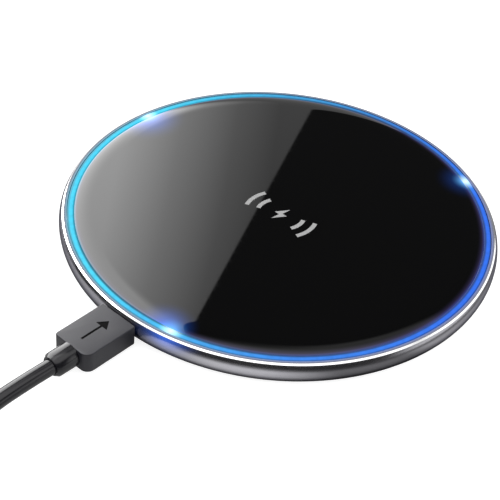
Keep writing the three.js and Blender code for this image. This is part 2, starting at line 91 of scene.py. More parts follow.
class Graph:
    """A short way to wire shader nodes: every call returns the new node's output socket."""

    def __init__(self, tree):
        self.tree = tree

    def node(self, kind, **settings):
        made = self.tree.nodes.new(kind)
        for name, value in settings.items():
            setattr(made, name, value)
        return made

    def feed(self, socket, value):
        """Links a socket to an output, or sets its value."""
        if isinstance(value, bpy.types.NodeSocket):
            self.tree.links.new(value, socket)
        elif value is not None:
            socket.default_value = value

    def place(self):
        return self.node("ShaderNodeTexCoord").outputs["Object"]

    def math(self, operation, a, b=None, c=None, clamp=False):
        made = self.node("ShaderNodeMath", operation=operation, use_clamp=clamp)
        for socket, value in zip(made.inputs, (a, b, c)):
            self.feed(socket, value)
        return made.outputs[0]

    def vector(self, operation, a, b=None, output=0):
        made = self.node("ShaderNodeVectorMath", operation=operation)
        for socket, value in zip(made.inputs, (a, b)):
            self.feed(socket, value)
        return made.outputs[output]

    def split(self, vector):
        made = self.node("ShaderNodeSeparateXYZ")
        self.feed(made.inputs[0], vector)
        return made.outputs

    def spread(self, value, low, high, to_low=0.0, to_high=1.0, kind="SMOOTHSTEP"):
        """Maps value from low..high to to_low..to_high, and holds it outside."""
        made = self.node("ShaderNodeMapRange", interpolation_type=kind, clamp=True)
        for socket, number in zip(made.inputs, (value, low, high, to_low, to_high)):
            self.feed(socket, number)
        return made.outputs[0]

    def ramp(self, value, stops):
        """A colour ramp over (position, (r, g, b)) stops."""
        made = self.node("ShaderNodeValToRGB")
        ramp = made.color_ramp
        while len(ramp.elements) < len(stops):
            ramp.elements.new(0.5)
        for element, (position, colour) in zip(ramp.elements, stops):
            element.position = position
            element.color = (*colour, 1)
        self.feed(made.inputs[0], value)
        return made.outputs[0]

    def noise(self, scale, detail=2.0, place=None):
        made = self.node("ShaderNodeTexNoise")
        self.feed(made.inputs["Vector"], place or self.place())
        made.inputs["Scale"].default_value = scale
        made.inputs["Detail"].default_value = detail
        return made.outputs["Fac"]

    def mix(self, factor, a, b, blend="MIX"):
        made = self.node("ShaderNodeMix", data_type="RGBA", blend_type=blend)
        self.feed(made.inputs[0], factor)
        self.feed(made.inputs[6], (*a, 1) if isinstance(a, tuple) else a)
        self.feed(made.inputs[7], (*b, 1) if isinstance(b, tuple) else b)
        return made.outputs[2]

    def bump(self, height, distance, strength=1.0):
        made = self.node("ShaderNodeBump")
        made.inputs["Strength"].default_value = strength
        made.inputs["Distance"].default_value = distance
        self.feed(made.inputs["Height"], height)
        return made.outputs[0]


def new_material(name, **sockets):
    """A Principled material and its graph. Sockets are named with _ for a space."""
    material = bpy.data.materials.new(name)
    material.use_nodes = True
    shader = material.node_tree.nodes["Principled BSDF"]
    graph = Graph(material.node_tree)
    for socket, value in sockets.items():
        if isinstance(value, tuple):
            value = (*value, 1)
        graph.feed(shader.inputs[socket.replace("_", " ")], value)
    return material, graph, shader


def srgb(red, green, blue):
    """A colour given as it shows on screen, 0 to 255, in linear light."""
    def linear(value):
        share = value / 255
        return share / 12.92 if share <= 0.04045 else ((share + 0.055) / 1.055) ** 2.4
    return tuple(linear(value) for value in (red, green, blue))


def scaled(colour, factor):
    return tuple(channel * factor for channel in colour)


def moulded(name, colour, roughness, grain=0.25 * MM, depth=0.01 * MM, vary=0.12, **sockets):
    """Plastic, rubber or metal with fine grain, faint blotches of tone and uneven gloss."""
    material, graph, shader = new_material(name, **sockets)
    blotches = graph.noise(60, 3)
    fine = graph.noise(1 / grain, 2)
    tone = graph.mix(blotches, scaled(colour, 1 - vary), scaled(colour, 1 + vary))
    graph.feed(shader.inputs["Base Color"], tone)
    graph.feed(
        shader.inputs["Roughness"],
        graph.spread(blotches, 0.3, 0.7, roughness * 0.9, roughness * 1.1),
    )
    graph.feed(shader.inputs["Normal"], graph.bump(fine, depth))
    return material


# ---------- Light ring colours ----------

# LED hot spots, as angles about the pad's axis.
HOT_ANGLES = (175.2, 61.9, -76.6)
HOT_RADIUS = 47.3 * MM

# The painted glow over the glass by each LED, a haze of light: angle, reach and strength. Two lie a
# little way round from it.
PAINTED_HAZES = ((176.5, 11 * MM, 1.15), (61.9, 8 * MM, 0.35), (-78.8, 8 * MM, 1.0))

# How strongly each LED's painted light spill glows on the band's side.
PAINTED_SPILLS = (0.4, 0.3, 1.7)

RING_MIDDLE = 47.5 * MM
RIM_HEIGHT = 7.0 * MM
GLASS_TOP = 7.35 * MM

BLUE = srgb(44, 110, 238)
DEEP_BLUE = srgb(44, 118, 210)
SKY = srgb(40, 156, 212)
CYAN = srgb(52, 212, 247)

# Round the ring from +X, as shares of a full turn.
RING_STOPS = [
    (0.00, BLUE), (0.16, BLUE), (0.26, DEEP_BLUE), (0.36, SKY), (0.47, CYAN), (0.72, CYAN),
    (0.80, srgb(54, 166, 238)), (0.87, srgb(50, 132, 234)), (1.00, BLUE),
]


def hot_point(degrees):
    angle = math.radians(degrees)
    return Vector((HOT_RADIUS * math.cos(angle), HOT_RADIUS * math.sin(angle), RIM_HEIGHT))


def ring_colour(graph):
    """The light ring's colour at a point, by its angle about the pad's axis."""
    x, y, _ = graph.split(graph.place())
    angle = graph.math("ARCTAN2", y, x)
    share = graph.math("FRACT", graph.math("DIVIDE", angle, 2 * math.pi))
    return graph.ramp(share, RING_STOPS)


def axis_distance(graph):
    flat = graph.vector("MULTIPLY", graph.place(), (1, 1, 0))
    return graph.vector("LENGTH", flat, output=1)


def glow(graph, degrees, reach, power=2.0):
    """1 at a hot spot, falling to 0 at a distance of reach."""
    away = graph.vector("DISTANCE", graph.place(), tuple(hot_point(degrees)), output=1)
    near = graph.spread(away, 0, reach, 1, 0, kind="LINEAR")
    return graph.math("POWER", near, power)


def add_light(graph, total, amount, colour):
    """total plus amount times colour, as one colour."""
    tint = graph.vector("SCALE", colour)
    graph.feed(tint.node.inputs["Scale"], amount)
    return graph.vector("ADD", total, tint)


# ---------- Materials ----------


def glass_material():
    """Black-backed glass: a mirror-smooth face, with the light ring's glow painted on as emission at its
    edge and round each LED.
    """
    material, graph, shader = new_material(
        "panel_glass", Base_Color=(0.0012, 0.0012, 0.0013), IOR=1.5,
    )
    dust = graph.noise(900, 4)
    graph.feed(shader.inputs["Roughness"], graph.spread(dust, 0.4, 0.8, 0.012, 0.03))
    from_axis = axis_distance(graph)
    # Painted violet glow just inside the glass's rim.
    painted_violet_glow = graph.math("POWER", graph.spread(from_axis, 45.0 * MM, 46.5 * MM, kind="LINEAR"), 2.0)
    light = add_light(graph, (0, 0, 0), painted_violet_glow, (0.036, 0.028, 0.085))
    # Painted glow in the ring's colours along the glass's edge, stronger towards -X.
    x, _, _ = graph.split(graph.place())
    strength = graph.spread(x, -10 * MM, -42 * MM, 0.12, 0.34)
    edge = graph.math("MULTIPLY", graph.spread(from_axis, 46.0 * MM, 46.5 * MM), strength)
    light = add_light(graph, light, edge, ring_colour(graph))
    # A painted haze of blue light round each LED, and a painted bright core at each.
    for degrees, reach, amount in PAINTED_HAZES:
        wide = graph.math("MULTIPLY", glow(graph, degrees, reach, 2.4), amount)
        light = add_light(graph, light, wide, srgb(50, 120, 255))
    for degrees in HOT_ANGLES:
        painted_hot_core = graph.math("MULTIPLY", glow(graph, degrees, 3.8 * MM, 2.0), 1.1)
        light = add_light(graph, light, painted_hot_core, srgb(110, 200, 255))
    graph.feed(shader.inputs["Emission Color"], light)
    shader.inputs["Emission Strength"].default_value = 1.0
    return material


def light_ring_material():
    """A lit guide: darker at both edges, near white at the LEDs. Towards -X it is lit further in."""
    material, graph, shader = new_material(
        "light_guide", Base_Color=(0.004, 0.008, 0.016), Roughness=0.4, Specular_IOR_Level=0.12,
    )
    x, _, _ = graph.split(graph.place())
    middle = graph.spread(x, -10 * MM, -42 * MM, RING_MIDDLE, RING_MIDDLE - 0.3 * MM)
    off_middle = graph.math("ABSOLUTE", graph.math("SUBTRACT", axis_distance(graph), middle))
    margin = graph.spread(x, -10 * MM, -42 * MM, 0.25, 0.5)
    across = graph.spread(off_middle, 0.2 * MM, 0.7 * MM, 1.0, margin)
    streaks = graph.spread(graph.noise(700, 2), 0.3, 0.7, 0.93, 1.07)
    light = add_light(graph, (0, 0, 0), graph.math("MULTIPLY", across, streaks), ring_colour(graph))
    for degrees in HOT_ANGLES:
        light = add_light(graph, light, glow(graph, degrees, 9 * MM, 4.0), (0.05, 0.35, 0.4))
        light = add_light(graph, light, glow(graph, degrees, 3 * MM, 1.5), (0.9, 0.9, 0.8))
    graph.feed(shader.inputs["Emission Color"], light)
    shader.inputs["Emission Strength"].default_value = 1.0
    return material


def frame_material():
    """Blasted, dyed aluminium, with the ring's blue light painted on as a glow near the LEDs."""
    material, graph, shader = new_material(
        "frame_satin", Metallic=1.0, Specular_Tint=(0.22, 0.22, 0.24),
    )
    blotches = graph.noise(45, 3)
    fine = graph.noise(9000, 2)
    tone = graph.mix(blotches, (0.33, 0.326, 0.352), (0.38, 0.376, 0.402))
    graph.feed(shader.inputs["Base Color"], tone)
    graph.feed(shader.inputs["Roughness"], graph.spread(fine, 0.3, 0.7, 0.19, 0.25))
    graph.feed(shader.inputs["Normal"], graph.bump(fine, 0.004 * MM, 0.6))
    # Painted blue glow of each LED's light on the band, fading lower down.
    light = (0, 0, 0)
    _, _, z = graph.split(graph.place())
    upper = graph.spread(z, 3.4 * MM, 6.4 * MM, 0.12, 1.0)
    for degrees, amount in zip(HOT_ANGLES, PAINTED_SPILLS):
        painted_spill = graph.math("MULTIPLY", glow(graph, degrees, 10 * MM, 3.0), amount)
        painted_spill = graph.math("MULTIPLY", painted_spill, upper)
        light = add_light(graph, light, painted_spill, srgb(50, 105, 225))
    graph.feed(shader.inputs["Emission Color"], light)
    shader.inputs["Emission Strength"].default_value = 1.0
    return material


def chamfer_material():
    """The cutter's bright face: near mirror, with fine turning marks round the rim."""
    material, graph, shader = new_material(
        "cut_rim", Base_Color=(0.97, 0.97, 0.98), Metallic=1.0,
    )
    _, _, z = graph.split(graph.place())
    lines = graph.math("SINE", graph.math("MULTIPLY", z, 2 * math.pi / (0.06 * MM)))
    graph.feed(shader.inputs["Roughness"], graph.spread(graph.noise(400, 2), 0.3, 0.7, 0.10, 0.14))
    graph.feed(shader.inputs["Normal"], graph.bump(lines, 0.001 * MM, 0.3))
    return material


def lip_material():
    """The flat lip inside the chamfer: dull grey, with the light ring's blue light painted on as a glow
    along its inner edge.
    """
    material, graph, shader = new_material("rim_lip", Specular_IOR_Level=0.15)
    grain = graph.noise(1500, 3)
    tone = graph.mix(grain, (0.115, 0.12, 0.145), (0.14, 0.145, 0.175))
    graph.feed(shader.inputs["Base Color"], tone)
    graph.feed(shader.inputs["Roughness"], graph.spread(grain, 0.3, 0.7, 0.45, 0.6))
    # Painted glow: the ring's blue light on the lip, strongest at its inner edge.
    lit = graph.spread(axis_distance(graph), 48.2 * MM, 48.75 * MM, 0.34, 0.04)
    light = add_light(graph, (0, 0, 0), lit, ring_colour(graph))
    graph.feed(shader.inputs["Emission Color"], light)
    shader.inputs["Emission Strength"].default_value = 1.0
    return material


def print_material():
    """Pale screen-printed ink, a little uneven."""
    material, graph, shader = new_material("printed_ink", Roughness=0.5)
    tone = graph.mix(graph.noise(2500, 3), (0.20, 0.20, 0.20), (0.27, 0.27, 0.27))
    graph.feed(shader.inputs["Base Color"], tone)
    return material


def jacket_material(name, colour, roughness, grain, depth):
    """Soft cable plastic with a fine skin."""
    return moulded(name, colour, roughness, grain=grain, depth=depth, vary=0.1, IOR=1.48)


def strap_material():
    """Woven hook-and-loop strap: crossing threads across its width and length."""
    material, graph, shader = new_material("strap_weave", Roughness=0.9, Sheen_Weight=0.5)
    x, y, z = graph.split(graph.place())
    warp = graph.math("SINE", graph.math("MULTIPLY", x, 2 * math.pi / (0.5 * MM)))
    along = graph.math("ADD", y, z)
    weft = graph.math("SINE", graph.math("MULTIPLY", along, 2 * math.pi / (0.5 * MM)))
    weave = graph.math("MULTIPLY", warp, weft)
    tone = graph.mix(graph.spread(weave, -1, 1), (0.012, 0.012, 0.014), (0.035, 0.035, 0.04))
    graph.feed(shader.inputs["Base Color"], tone)
    graph.feed(shader.inputs["Normal"], graph.bump(weave, 0.05 * MM, 0.8))
    return material


def board_material():
    """Solder mask over tracks."""
    material, graph, shader = new_material("solder_mask", Roughness=0.35)
    cells = graph.node("ShaderNodeTexVoronoi", feature="DISTANCE_TO_EDGE")
    cells.inputs["Scale"].default_value = 420
    graph.feed(cells.inputs["Vector"], graph.place())
    tracks = graph.spread(cells.outputs["Distance"], 0.04, 0.09, 1, 0)
    tone = graph.mix(tracks, (0.008, 0.06, 0.03), (0.02, 0.13, 0.07))
    graph.feed(shader.inputs["Base Color"], tone)
    graph.feed(shader.inputs["Normal"], graph.bump(tracks, 0.03 * MM))
    return material


def wire_material():
    """Enamelled copper strands laid along the wire."""
    material, graph, shader = new_material("enamelled_copper", Metallic=1.0, Coat_Weight=0.4)
    strands = graph.noise(3500, 2)
    tone = graph.mix(strands, (0.40, 0.16, 0.06), (0.72, 0.34, 0.15))
    graph.feed(shader.inputs["Base Color"], tone)
    graph.feed(shader.inputs["Roughness"], graph.spread(strands, 0.3, 0.7, 0.25, 0.45))
    graph.feed(shader.inputs["Normal"], graph.bump(strands, 0.05 * MM))
    return material


def led_material():
    """A small lamp: a white body with a phosphor window that shines blue-white."""
    material, graph, shader = new_material("led_package", Roughness=0.4)
    _, _, z = graph.split(graph.place())
    lit = graph.spread(z, 3.3 * MM, 3.5 * MM)
    graph.feed(shader.inputs["Base Color"], graph.mix(lit, (0.8, 0.8, 0.78), (0.9, 0.8, 0.3)))
    graph.feed(shader.inputs["Emission Color"], graph.mix(lit, (0, 0, 0), (0.2, 0.6, 1.0)))
    shader.inputs["Emission Strength"].default_value = 2.0
    return material


looks = {
    "glass": glass_material(),
    "light_ring": light_ring_material(),
    "frame": frame_material(),
    "chamfer": chamfer_material(),
    "lip": lip_material(),
    "ink": print_material(),
    "grip": jacket_material("grip_plastic", (0.0106, 0.0104, 0.0142), 0.38, 0.12 * MM, 0.006 * MM),
    "cord": jacket_material("cord_jacket", (0.0060, 0.0058, 0.0075), 0.17, 0.2 * MM, 0.0015 * MM),
    "engraving": moulded("engraving", (0.0008, 0.0008, 0.0009), 0.8, Specular_IOR_Level=0.1),
    "strap": strap_material(),
    "base": moulded("base_plastic", srgb(38, 38, 41), 0.5, grain=0.35 * MM, depth=0.03 * MM),
    "inner_plastic": moulded("tray_plastic", srgb(34, 34, 36), 0.55),
    "rubber": moulded("foot_rubber", srgb(30, 30, 31), 0.85, grain=0.3 * MM, depth=0.02 * MM),
    "white": moulded("white_liner", srgb(225, 227, 228), 0.6, vary=0.03),
    "screw": moulded("screw_zinc", (0.55, 0.56, 0.58), 0.32, Metallic=1.0),
    "steel": moulded("nickel_shell", (0.62, 0.61, 0.60), 0.24, grain=0.4 * MM, vary=0.04, Metallic=1.0),
    "gold": moulded("contact_gold", (0.85, 0.60, 0.22), 0.25, vary=0.05, Metallic=1.0),
    "board": board_material(),
    "ferrite": moulded("ferrite", srgb(70, 70, 73), 0.75, grain=0.15 * MM, depth=0.02 * MM),
    "wire": wire_material(),
    "film": moulded("amber_film", srgb(190, 130, 40), 0.3, vary=0.1),
    "adhesive": moulded("black_tape", srgb(44, 44, 46), 0.9),
    "chip": moulded("chip_epoxy", srgb(28, 28, 30), 0.45, grain=0.08 * MM),
    "ceramic": moulded("capacitor_ceramic", srgb(168, 140, 100), 0.55, vary=0.08),
    "led": led_material(),
}

# ---------- Mesh helpers ----------


def finish_mesh(name, bm, *materials, sharp=35):
    """Turns a bmesh into a smooth-shaded object with sharp edges kept."""
    bmesh.ops.remove_doubles(bm, verts=bm.verts, dist=1e-7)
    bmesh.ops.recalc_face_normals(bm, faces=bm.faces)
    mesh = bpy.data.meshes.new(name)
    bm.to_mesh(mesh)
    bm.free()
    for material in materials:
        mesh.materials.append(looks[material])
    mesh.shade_smooth()
    mesh.set_sharp_from_angle(angle=math.radians(sharp))
    made = bpy.data.objects.new(name, mesh)
    bpy.context.scene.collection.objects.link(made)
    return made


def rounded(points, radius, steps=4, closed=True):
    """A flat outline with each corner swapped for an arc of up to the radius."""
    made = []
    count = len(points)
    for i, point in enumerate(points):
        here = Vector(point)
        before, after = Vector(points[i - 1]), Vector(points[(i + 1) % count])
        if not closed and i in (0, count - 1):
            made.append(here)
            continue
        inward, outward = before - here, after - here
        corner = inward.angle(outward)
        if corner > math.radians(172):
            made.append(here)
            continue
        reach = min(radius / math.tan(corner / 2), 0.45 * inward.length, 0.45 * outward.length)
        start = here + inward.normalized() * reach
        end = here + outward.normalized() * reach
        for k in range(steps + 1):
            t = k / steps
            made.append(start * (1 - t) ** 2 + here * 2 * t * (1 - t) + end * t ** 2)
    return made


def turned(name, profile, segments, *materials, pick=None, sharp=35):
    """A closed surface of revolution about Z from a (radius, height) outline.

    A point on the axis becomes one vertex. pick gives a face's material index from its middle."""
    bm = bmesh.new()
    rings = []
    for radius, height in profile:
        if radius < 1e-9:
            rings.append([bm.verts.new((0, 0, height))] * segments)
            continue
        ring = []
        for k in range(segments):
            angle = 2 * math.pi * k / segments
            ring.append(bm.verts.new((radius * math.cos(angle), radius * math.sin(angle), height)))
        rings.append(ring)
    on_axis = profile[0][0] < 1e-9
    spans = list(zip(rings, rings[1:])) + ([] if on_axis else [(rings[-1], rings[0])])
    for low, high in spans:
        for k in range(segments):
            n = (k + 1) % segments
            corners = dict.fromkeys((low[k], low[n], high[n], high[k]))
            if len(corners) > 2:
                face = bm.faces.new(list(corners))
                if pick:
                    face.material_index = pick(face.calc_center_median())
    return finish_mesh(name, bm, *materials, sharp=sharp)


def plan_outline(x0, x1, y0, y1, corners, steps=8):
    """A rectangle seen from above with its own radius at each corner, from (x0, y0) round."""
    made = []
    places = ((x0, y0, 1, 1, 180), (x1, y0, -1, 1, 270), (x1, y1, -1, -1, 0), (x0, y1, 1, -1, 90))
    for (x, y, sx, sy, start), radius in zip(places, corners):
        for k in range(steps + 1):
            angle = math.radians(start + 90 * k / steps)
            made.append((
                x + sx * radius + radius * math.cos(angle),
                y + sy * radius + radius * math.sin(angle),
            ))
    return made


def slab(name, x, y, z, corners, edge, *materials, steps=5, sharp=35):
    """A moulded block over x, y and z ranges: round corners in plan and a round edge all round."""
    bm = bmesh.new()
    turns = [math.pi / 2 * (1 - k / steps) for k in range(steps + 1)]
    bottom = [(z[0] + edge * (1 - math.sin(a)), edge * (1 - math.cos(a))) for a in turns]
    top = [(z[1] + z[0] - level, inset) for level, inset in reversed(bottom)]
    rings = []
    for level, inset in bottom + top:
        outline = plan_outline(
            x[0] + inset, x[1] - inset, y[0] + inset, y[1] - inset,
            [max(radius - inset, 0.02 * MM) for radius in corners],
        )
        rings.append([bm.verts.new((px, py, level)) for px, py in outline])
    for low, high in zip(rings, rings[1:]):
        for k in range(len(low)):
            n = (k + 1) % len(low)
            bm.faces.new((low[k], low[n], high[n], high[k]))
    bm.faces.new(reversed(rings[0]))
    bm.faces.new(rings[-1])
    return finish_mesh(name, bm, *materials, sharp=sharp)


def prism(name, outline, low, high, matrix, *materials, sharp=35):
    """An outline in its own XY plane, given thickness and set in place by a matrix."""
    bm = bmesh.new()
    bottom = [bm.verts.new((px, py, low)) for px, py in outline]
    top = [bm.verts.new((px, py, high)) for px, py in outline]
    for k in range(len(outline)):
        n = (k + 1) % len(outline)
        bm.faces.new((bottom[k], bottom[n], top[n], top[k]))
    bm.faces.new(list(reversed(bottom)))
    bm.faces.new(top)
    bmesh.ops.transform(bm, matrix=matrix, verts=bm.verts)
    return finish_mesh(name, bm, *materials, sharp=sharp)


def carve(target, cutter, join=False, sharp=35):
    """Cuts cutter out of target, or joins it on, and removes the cutter."""
    step = target.modifiers.new("carve", "BOOLEAN")
    step.operation = "UNION" if join else "DIFFERENCE"
    step.solver = "EXACT"
    step.object = cutter
    graph = bpy.context.evaluated_depsgraph_get()
    carved = bpy.data.meshes.new_from_object(target.evaluated_get(graph))
    target.modifiers.remove(step)
    old = target.data
    target.data = carved
    bpy.data.meshes.remove(old)
    bpy.data.objects.remove(cutter)
    carved.set_sharp_from_angle(angle=math.radians(sharp))
    return target


def place(obj, body, slot, *nodes):
    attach(obj, body)
    if nodes:
        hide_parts(*nodes)
    return obj


# Turns an outline drawn in XY to stand in the XZ plane, its thickness running along +Y.
STANDING = Matrix.Rotation(math.radians(90), 4, "X") @ Matrix.Scale(-1, 4, (0, 0, 1))

# ---------- Cord ----------

CORD_DIAMETER = 3.5 * MM
CORD_LENGTH = 0.936
PORT_HEIGHT = 4.2 * MM
RELIEF_END = -0.0686
COIL_TURNS = 7.5
TURN_PITCH = 0.00355
COIL_Y = -0.100
TAIL_LENGTH = 0.016
RUN_LENGTH = RELIEF_END - COIL_Y
MEAN_RADIUS = (CORD_LENGTH - RUN_LENGTH - TAIL_LENGTH) / (2 * math.pi * COIL_TURNS)
OUTER_TURN = MEAN_RADIUS + COIL_TURNS * TURN_PITCH / 4
INNER_TURN = MEAN_RADIUS - COIL_TURNS * TURN_PITCH / 4
COIL_X = -OUTER_TURN
FAR_X = COIL_X - OUTER_TURN
FAR_Y = COIL_Y + TAIL_LENGTH
FAR_HEIGHT = 0.0038
LAYER = (0.0018, 0.00533)
POINTS_PER_TURN = 24
STRAP_THICKNESS = 0.6 * MM
STRAP_WIDTH = 6 * MM

# Straight out of the strain relief, then down to the surface.
CORD_RUN = [
    (0, -0.0684, 0.0042), (-0.00003, -0.0705, 0.0042), (-0.00008, -0.073, 0.0042),
    (-0.00015, -0.0755, 0.00413), (-0.00022, -0.078, 0.00402), (-0.0003, -0.081, 0.0038),
    (-0.0003, -0.084, 0.00345), (-0.00025, -0.087, 0.0030), (-0.00015, -0.090, 0.0025),
    (-0.00005, -0.093, 0.0021), (0, -0.096, 0.00187),
]

# Off the top of the coil and down to the far plug.
CORD_TAIL = [
    (FAR_X, -0.0968, 0.0052), (FAR_X, -0.0936, 0.0049), (FAR_X, -0.0900, 0.0044),
    (FAR_X, -0.0868, 0.0040), (FAR_X, -0.0836, 0.0038),
]


def coil_points():
    """Two layers of turns: in along the surface to the middle, then out again on top."""
    made = []
    steps = int(COIL_TURNS * POINTS_PER_TURN)
    half = COIL_TURNS / 2
    for i in range(steps + 1):
        turn = COIL_TURNS * i / steps
        angle = -2 * math.pi * turn
        radius = INNER_TURN + TURN_PITCH * abs(turn - half)
        climb = min(max((turn - half + 0.35) / 0.6, 0), 1)
        climb = climb * climb * (3 - 2 * climb)
        height = LAYER[0] + (LAYER[1] - LAYER[0]) * climb
        from_strap = (angle - math.radians(270) + math.pi) % (2 * math.pi) - math.pi
        height += (STRAP_THICKNESS + 0.1 * MM) * math.exp(-((from_strap / 0.35) ** 2))
        made.append((COIL_X + radius * math.cos(angle), COIL_Y + radius * math.sin(angle), height))
    return made


def make_cord():
    data = bpy.data.curves.new("usb_cord", "CURVE")
    data.dimensions = "3D"
    data.bevel_depth = CORD_DIAMETER / 2
    data.bevel_resolution = 5
    data.resolution_u = 5
    data.use_fill_caps = True
    points = CORD_RUN + coil_points() + CORD_TAIL
    spline = data.splines.new("BEZIER")
    spline.bezier_points.add(len(points) - 1)
    for bezier, point in zip(spline.bezier_points, points):
        bezier.co = point
        bezier.handle_left_type = "AUTO"
        bezier.handle_right_type = "AUTO"
    data.materials.append(looks["cord"])
    made = bpy.data.objects.new("usb_cord", data)
    bpy.context.scene.collection.objects.link(made)
    return place(made, "cable", "cable_jacket", "cord_run", "cord_coil", "cord_tail")


def make_strap():
    """The strap is a flat band round all the turns, its end lapped over its top."""
    inner = (-OUTER_TURN - 2.15 * MM, -INNER_TURN + 2.35 * MM)
    height = LAYER[1] + CORD_DIAMETER / 2 + STRAP_THICKNESS + 0.3 * MM
    outline = [(inner[0], 0), (inner[1], 0), (inner[1], height), (inner[0], height)]
    outer = rounded(outline, 2.4 * MM, 6)
    hole = rounded([
        (inner[0] + STRAP_THICKNESS, STRAP_THICKNESS), (inner[1] - STRAP_THICKNESS, STRAP_THICKNESS),
        (inner[1] - STRAP_THICKNESS, height - STRAP_THICKNESS),
        (inner[0] + STRAP_THICKNESS, height - STRAP_THICKNESS),
    ], 1.9 * MM, 6)
    # The outline's x runs along -Y of the row, so that its thickness lies along X.
    turn = Matrix(((0, 0, 1, COIL_X), (1, 0, 0, COIL_Y), (0, 1, 0, 0), (0, 0, 0, 1)))
    half = STRAP_WIDTH / 2
    band = prism("cord_strap", outer, -half, half, turn, "strap", sharp=50)
    carve(band, prism("strap_hole", hole, -half - MM, half + MM, turn, "strap"))
    lap = rounded([
        (inner[0] + 3.2 * MM, height - 0.1 * MM), (inner[1] - 4.5 * MM, height - 0.1 * MM),
        (inner[1] - 4.5 * MM, height + STRAP_THICKNESS), (inner[0] + 3.2 * MM, height + STRAP_THICKNESS),
    ], 0.25 * MM, 3)
    carve(band, prism("strap_lap", lap, -half + 0.15 * MM, half - 0.15 * MM, turn, "strap"), join=True)
    return place(band, "cable", "tie", "cord_tie")


def along_y(name, profile, y, direction, centre, *materials, segments=48):
    """A turned piece about a Y axis. The profile is (radius, distance from y) pairs."""
    made = turned(name, profile, segments, *materials)
    spin = Matrix.Rotation(math.radians(-90 * direction), 4, "X")
    made.data.transform(Matrix.Translation((centre[0], y, centre[1])) @ spin)
    return made


def relief_profile(length, bore):
    """A short boot: a straight barrel, a bevelled end and a bore that the cord comes out of."""
    outline = [
        (2.72, 0), (2.70, length * 0.3), (2.66, length - 0.75), (2.15, length), (bore, length),
        (bore, length - 0.5), (0, length - 0.5),
    ]
    return [(0, 0)] + [(radius * MM, reach * MM) for radius, reach in outline]


def make_reliefs():
    """Both boots point along -Y, away from their plugs."""
    bore = 1.78
    profile = relief_profile(5.25, bore)
    near = along_y("near_strain_relief", profile, -63.32 * MM, -1, (0, PORT_HEIGHT), "cord")
    place(near, "cable", "cable_jacket", "plug_strain_relief")
    profile = relief_profile(8.0, bore)
    far = along_y("far_strain_relief", profile, FAR_Y + 8.02 * MM, -1, (FAR_X, FAR_HEIGHT), "cord")
    place(far, "cable", "cable_jacket", "usb_a_strain_relief")
    return near, far


# ---------- Plugs ----------


def arrow_outline(length, width, shaft, head):
    """A plain arrow pointing along +Y, centred on the origin."""
    y0, y1 = -length / 2, length / 2
    return [
        (-shaft / 2, y0), (shaft / 2, y0), (shaft / 2, y1 - head), (width / 2, y1 - head), (0, y1),
        (-width / 2, y1 - head), (-shaft / 2, y1 - head),
    ]


def rounded_box(width, height, corner, steps=6):
    return plan_outline(-width / 2, width / 2, -height / 2, height / 2, [corner] * 4, steps)


def standing_sleeve(name, width, height, corner, wall, y0, y1, centre, material):
    """A sheet-metal sleeve along Y with round corners."""
    where = Matrix.Translation((centre[0], 0, centre[1])) @ STANDING
    tube = prism(name, rounded_box(width, height, corner), y0, y1, where, material)
    hole = rounded_box(width - 2 * wall, height - 2 * wall, corner - wall * 0.6)
    return carve(tube, prism(name + "_bore", hole, y0 - MM, y1 + MM, where, material))


def engrave(target, name, outline, centre, top, depth):
    """Cuts an outline into a top face and lays a dark fill at the bottom of the cut."""
    where = Matrix.Translation((centre[0], centre[1], 0))
    cutter = prism(name + "_cutter", outline, top - depth, top + MM, where, "engraving")
    carve(target, cutter)
    fill = prism(name, outline, top - depth, top - depth * 0.35, where, "engraving")
    return place(fill, "cable", "chip")


def make_near_plug():
    width, low, high = 9.7 * MM, 1.72 * MM, 6.55 * MM
    front, back = -50.05 * MM, -63.3 * MM
    grip = slab(
        "near_plug_grip", (-width / 2, width / 2), (back, front), (low, high),
        (0.7 * MM, 1.9 * MM, 0.35 * MM, 0.35 * MM), 0.22 * MM, "grip",
    )
    where = Matrix.Translation((0, 0, PORT_HEIGHT)) @ STANDING
    pocket = rounded_box(7.2 * MM, 2.15 * MM, 0.6 * MM)
    carve(grip, prism("grip_pocket", pocket, -52.6 * MM, -50 * MM, where, "grip"))
    outline = arrow_outline(7.6 * MM, 3.2 * MM, 0.55 * MM, 2.2 * MM)
    mark = engrave(grip, "near_plug_mark", outline, (0, -56.6 * MM), high, 0.12 * MM)
    place(grip, "cable", "cable_jacket", "plug_overmould")
    shell = standing_sleeve(
        "near_plug_shell", 6.85 * MM, 1.8 * MM, 0.55 * MM, 0.25 * MM, -52.3 * MM, -44.8 * MM,
        (0, PORT_HEIGHT), "steel",
    )
    for x in (-2.0, 2.0):
        window = slab(
            "window", ((x - 0.45) * MM, (x + 0.45) * MM), (-47.6 * MM, -46.5 * MM),
            (PORT_HEIGHT - 2 * MM, PORT_HEIGHT - 0.4 * MM), [0.15 * MM] * 4, 0.05 * MM, "steel",
        )
        carve(shell, window)
    place(shell, "cable", "connector_steel", "plug_metal_shell")
    ends = (-50 * MM, -45.6 * MM)
    contacts = make_contacts("near_plug_contact", 5, 0.65 * MM, 0.35 * MM, ends, 0, 4.02 * MM)
    return [grip, mark, shell, contacts]


def make_contacts(name, count, pitch, width, y, centre_x, level):
    """A row of gold contact strips lying on a contact block, as one piece."""
    bm = bmesh.new()
    for k in range(count):
        x = centre_x + (k - (count - 1) / 2) * pitch
        size = Matrix.Diagonal((width, y[1] - y[0], 0.06 * MM, 1))
        where = Matrix.Translation((x, (y[0] + y[1]) / 2, level))
        bmesh.ops.create_cube(bm, size=1, matrix=where @ size)
    bmesh.ops.bevel(bm, geom=bm.edges[:], offset=0.015 * MM, segments=1, affect="EDGES")
    return place(finish_mesh(name, bm, "gold"), "cable", "connector_steel")


